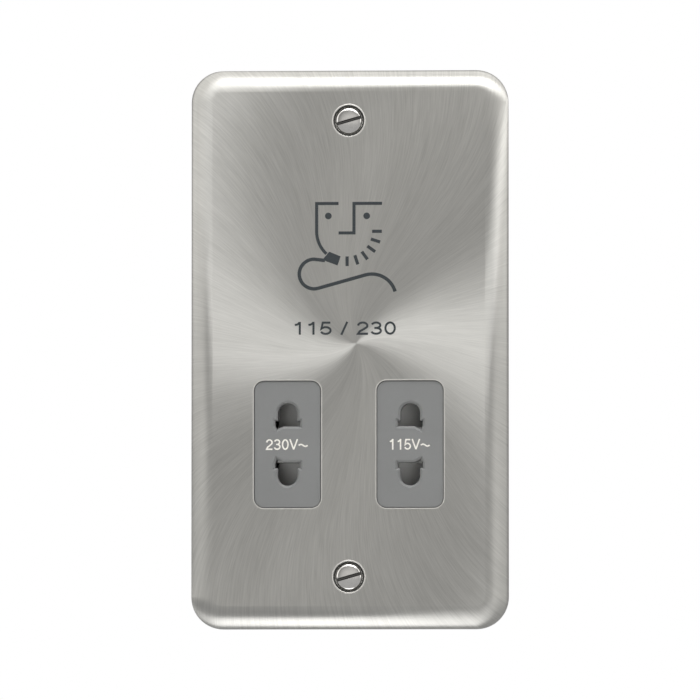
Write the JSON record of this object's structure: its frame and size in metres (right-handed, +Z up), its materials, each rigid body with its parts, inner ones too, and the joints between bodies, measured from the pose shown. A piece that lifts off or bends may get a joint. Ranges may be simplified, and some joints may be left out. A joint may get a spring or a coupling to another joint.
{
  "type": "shaver socket",
  "caption": "Wall shaver socket: brushed metal plate over grey outlets for 230 V and 115 V, with a sprung shutter and an isolating transformer in a rear housing.",
  "frame": {"origin": "on the wall plane, which is the rear rim of the front plate, midway between the two fixing screws", "axes": "+X to the right seen from the front, +Y into the wall along the fixing screws, +Z up; the front faces -Y"},
  "size_m": [0.084, 0.0473, 0.148],
  "materials": {
    "brushed_plate": "satin, brushed in a swirl",
    "grey_moulding": "fine moulded",
    "nickel_screw": "polished nickel",
    "shutter_plastic": "moulded",
    "spring_wire": "drawn wire",
    "contact_brass": "rolled",
    "carrier_plastic": "moulded",
    "zinc_screw": "zinc plated",
    "housing_plastic": "fine moulded",
    "core_steel": "varnished laminations",
    "bobbin_nylon": "moulded",
    "tinned_tag": "tinned",
    "winding_copper": "enamelled wire",
    "yellow_tape": "polyester tape",
    "cutout_shell": "moulded",
    "terminal_brass": "machined",
    "tinned_strap": "tinned",
    "lead_brown": "insulation",
    "lead_blue": "insulation",
    "lead_white": "insulation",
    "lead_red": "insulation",
    "lead_black": "insulation"
  },
  "bodies": {
    "root": {"front_plate": "brushed_plate", "outlet_insert_230": "grey_moulding", "outlet_insert_115": "grey_moulding", "front_moulding": "grey_moulding", "fixing_screw_upper": "nickel_screw", "fixing_screw_lower": "nickel_screw", "shutter_spring_left": "spring_wire", "shutter_spring_right": "spring_wire", "contact_carrier": "carrier_plastic", "contact_230": "contact_brass", "contact_115": "contact_brass", "contact_common": "contact_brass", "switch_feed_contact": "contact_brass", "switch_load_contact": "contact_brass", "carrier_screws": "zinc_screw", "rear_housing": "housing_plastic", "housing_screws": "zinc_screw", "core_e": "core_steel", "core_i": "core_steel", "core_screws": "zinc_screw", "bobbin": "bobbin_nylon", "bobbin_tags": "tinned_tag", "secondary_winding": "winding_copper", "primary_winding": "winding_copper", "winding_tape": "yellow_tape", "thermal_cutout": "cutout_shell", "terminal_live": "terminal_brass", "terminal_neutral": "terminal_brass", "terminal_earth": "terminal_brass", "terminal_screws": "zinc_screw", "earth_strap": "tinned_strap", "stud_retainers": "spring_wire", "lead_live": "lead_brown", "lead_neutral": "lead_blue", "lead_cutout_to_switch": "lead_brown", "lead_switch_to_primary": "lead_brown", "lead_230": "lead_white", "lead_115": "lead_red", "lead_common": "lead_black"},
    "shutter": {"shutter_slide": "shutter_plastic", "switch_bridge": "contact_brass"}
  },
  "joints": [
    {"name": "shutter_slide", "type": "slide", "parent": "root", "child": "shutter", "axis": [1, 0, 0], "range_m": [-0.0063, 0.0063], "stiffness_N_per_m": 150, "deforming": ["shutter_spring_left", "shutter_spring_right"]}
  ]
}
